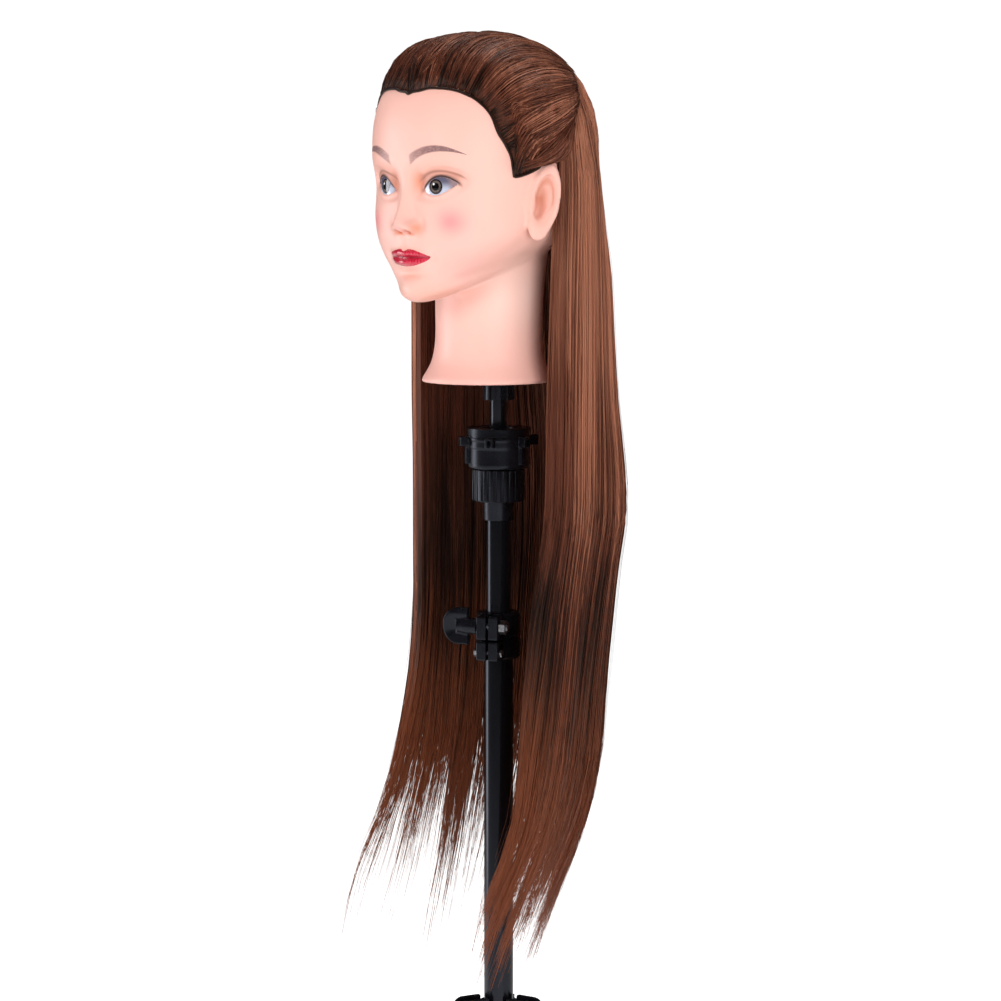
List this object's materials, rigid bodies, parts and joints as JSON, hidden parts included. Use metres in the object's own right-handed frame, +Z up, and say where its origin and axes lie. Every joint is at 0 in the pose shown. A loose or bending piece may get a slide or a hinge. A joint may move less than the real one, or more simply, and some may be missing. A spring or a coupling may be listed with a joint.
{
  "type": "mannequin training head",
  "caption": "Mannequin head with long straight hair, lifting off a tilting swivel clamp on a height-adjustable folding tripod stand.",
  "frame": {"origin": "centre of the flat bottom face of the column's rubber end plug, on the floor and on the column's axis", "axes": "+Z up along the column; the face looks along -Y; the head's left side is +X"},
  "size_m": [0.516, 0.5301, 1.1175],
  "materials": {
    "black_plastic": "moulded black plastic with a soft sheen",
    "black_painted_metal": "satin black powder coat on steel tube",
    "zinc_steel": "zinc-plated steel",
    "white_nylon": "natural nylon",
    "black_rubber": "matte black rubber",
    "skin_vinyl": "soft satin skin-coloured vinyl with painted make-up",
    "scalp_vinyl": "thin vinyl scalp skin",
    "socket_plastic": "plain moulded plastic",
    "brown_hair": "long straight glossy brown hair fibre"
  },
  "bodies": {
    "column": {"outer_tube": "black_painted_metal", "column_end_plug": "black_rubber", "tube_collar": "black_plastic", "clamp_nut": "zinc_steel", "collar_screw": "zinc_steel", "collar_screw_nut": "zinc_steel", "brace_hub": "black_plastic", "brace_pin_1": "zinc_steel", "brace_pin_2": "zinc_steel", "brace_pin_3": "zinc_steel"},
    "inner_column": {"tube_adapter": "black_plastic", "inner_tube": "black_painted_metal", "inner_tube_bush": "white_nylon"},
    "wing": {"wing_knob": "black_plastic", "wing_screw": "zinc_steel"},
    "hub": {"leg_hub": "black_plastic", "leg_pivot_pin_1": "zinc_steel", "leg_pivot_pin_2": "zinc_steel", "leg_pivot_pin_3": "zinc_steel"},
    "hub_grip": {"hub_knob": "black_plastic", "hub_knob_screw": "zinc_steel"},
    "ring": {"lock_ring": "black_plastic"},
    "cup": {"swivel_cup": "black_plastic", "ball_seat": "white_nylon"},
    "post": {"post_plug": "black_plastic", "swivel_post": "black_painted_metal", "swivel_ball": "zinc_steel", "plug_screw": "zinc_steel"},
    "head": {"head_shell": "skin_vinyl", "neck_socket": "socket_plastic", "scalp_cap": "scalp_vinyl", "hair_top": "brown_hair"},
    "hair": {"hair_fall_left": "brown_hair", "hair_fall_back_left": "brown_hair", "hair_fall_back": "brown_hair", "hair_fall_back_right": "brown_hair", "hair_fall_right": "brown_hair"},
    "leg_1": {"leg_knuckle_1": "black_plastic", "leg_tube_1": "black_painted_metal", "brace_collar_1": "black_plastic", "foot_1": "black_rubber"},
    "strut_1": {"brace_1": "black_painted_metal", "brace_rivet_1": "zinc_steel"},
    "leg_2": {"leg_knuckle_2": "black_plastic", "leg_tube_2": "black_painted_metal", "brace_collar_2": "black_plastic", "foot_2": "black_rubber"},
    "strut_2": {"brace_2": "black_painted_metal", "brace_rivet_2": "zinc_steel"},
    "leg_3": {"leg_knuckle_3": "black_plastic", "leg_tube_3": "black_painted_metal", "brace_collar_3": "black_plastic", "foot_3": "black_rubber"},
    "strut_3": {"brace_3": "black_painted_metal", "brace_rivet_3": "zinc_steel"}
  },
  "joints": [
    {"name": "column_slide", "type": "slide", "parent": "column", "child": "inner_column", "axis": [0, 0, 1], "range_m": [-0.04, 0.3]},
    {"name": "head_pan", "type": "hinge", "parent": "inner_column", "child": "cup", "pos_m": [0, 0, 0.777], "axis": [0, 0, 1], "continuous": true},
    {"name": "head_tilt", "type": "hinge", "parent": "cup", "child": "post", "pos_m": [0, 0, 0.7965], "axis": [1, 0, 0], "range_deg": [-10, 10]},
    {"name": "head_lift", "type": "slide", "parent": "post", "child": "head", "axis": [0, 0, 1], "range_m": [0, 0.065]},
    {"name": "hair_sway", "type": "hinge", "parent": "head", "child": "hair", "pos_m": [0, 0.055, 0.95], "axis": [1, 0, 0], "range_deg": [-10.5, 10.5]},
    {"name": "lock_ring_turn", "type": "hinge", "parent": "inner_column", "child": "ring", "pos_m": [0, 0, 0.751], "axis": [0, 0, 1], "range_deg": [0, 120]},
    {"name": "wing_knob_turn", "type": "hinge", "parent": "column", "child": "wing", "pos_m": [0.00986, -0.02022, 0.6545], "axis": [-0.8988, -0.4384, 0], "range_deg": [0, 360]},
    {"name": "hub_knob_turn", "type": "hinge", "parent": "hub", "child": "hub_grip", "pos_m": [0, 0, 0.311], "axis": [-0.9781, -0.2079, 0], "range_deg": [0, 360]},
    {"name": "tripod_fold", "type": "slide", "parent": "column", "child": "hub", "axis": [0, 0, 1], "range_m": [0, 0.108]},
    {"name": "leg_fold_1", "type": "hinge", "parent": "hub", "child": "leg_1", "pos_m": [0.02641, 0.00561, 0.3465], "axis": [-0.2079, 0.9781, 0], "range_deg": [-0.2, 34.2]},
    {"name": "brace_fold_1", "type": "hinge", "parent": "column", "child": "strut_1", "pos_m": [0.02739, 0.00582, 0.046], "axis": [0.2079, -0.9781, 0], "range_deg": [-0.2, 43.78]},
    {"name": "leg_fold_2", "type": "hinge", "parent": "hub", "child": "leg_2", "pos_m": [-0.01807, 0.02006, 0.3465], "axis": [-0.7431, -0.6691, 0], "range_deg": [-0.2, 34.2]},
    {"name": "brace_fold_2", "type": "hinge", "parent": "column", "child": "strut_2", "pos_m": [-0.01874, 0.02081, 0.046], "axis": [0.7431, 0.6691, 0], "range_deg": [-0.2, 43.78]},
    {"name": "leg_fold_3", "type": "hinge", "parent": "hub", "child": "leg_3", "pos_m": [-0.00834, -0.02568, 0.3465], "axis": [0.9511, -0.309, 0], "range_deg": [-0.2, 34.2]},
    {"name": "brace_fold_3", "type": "hinge", "parent": "column", "child": "strut_3", "pos_m": [-0.00865, -0.02663, 0.046], "axis": [-0.9511, 0.309, 0], "range_deg": [-0.2, 43.78]}
  ],
  "couplings": [
    {"joint": "hair_sway", "follows": "head_tilt", "ratio": -1},
    {"joint": "leg_fold_1", "follows": "tripod_fold", "rad_per_m": 5.4946},
    {"joint": "brace_fold_1", "follows": "tripod_fold", "rad_per_m": 7.0428},
    {"joint": "leg_fold_2", "follows": "tripod_fold", "rad_per_m": 5.4946},
    {"joint": "brace_fold_2", "follows": "tripod_fold", "rad_per_m": 7.0428},
    {"joint": "leg_fold_3", "follows": "tripod_fold", "rad_per_m": 5.4946},
    {"joint": "brace_fold_3", "follows": "tripod_fold", "rad_per_m": 7.0428}
  ]
}
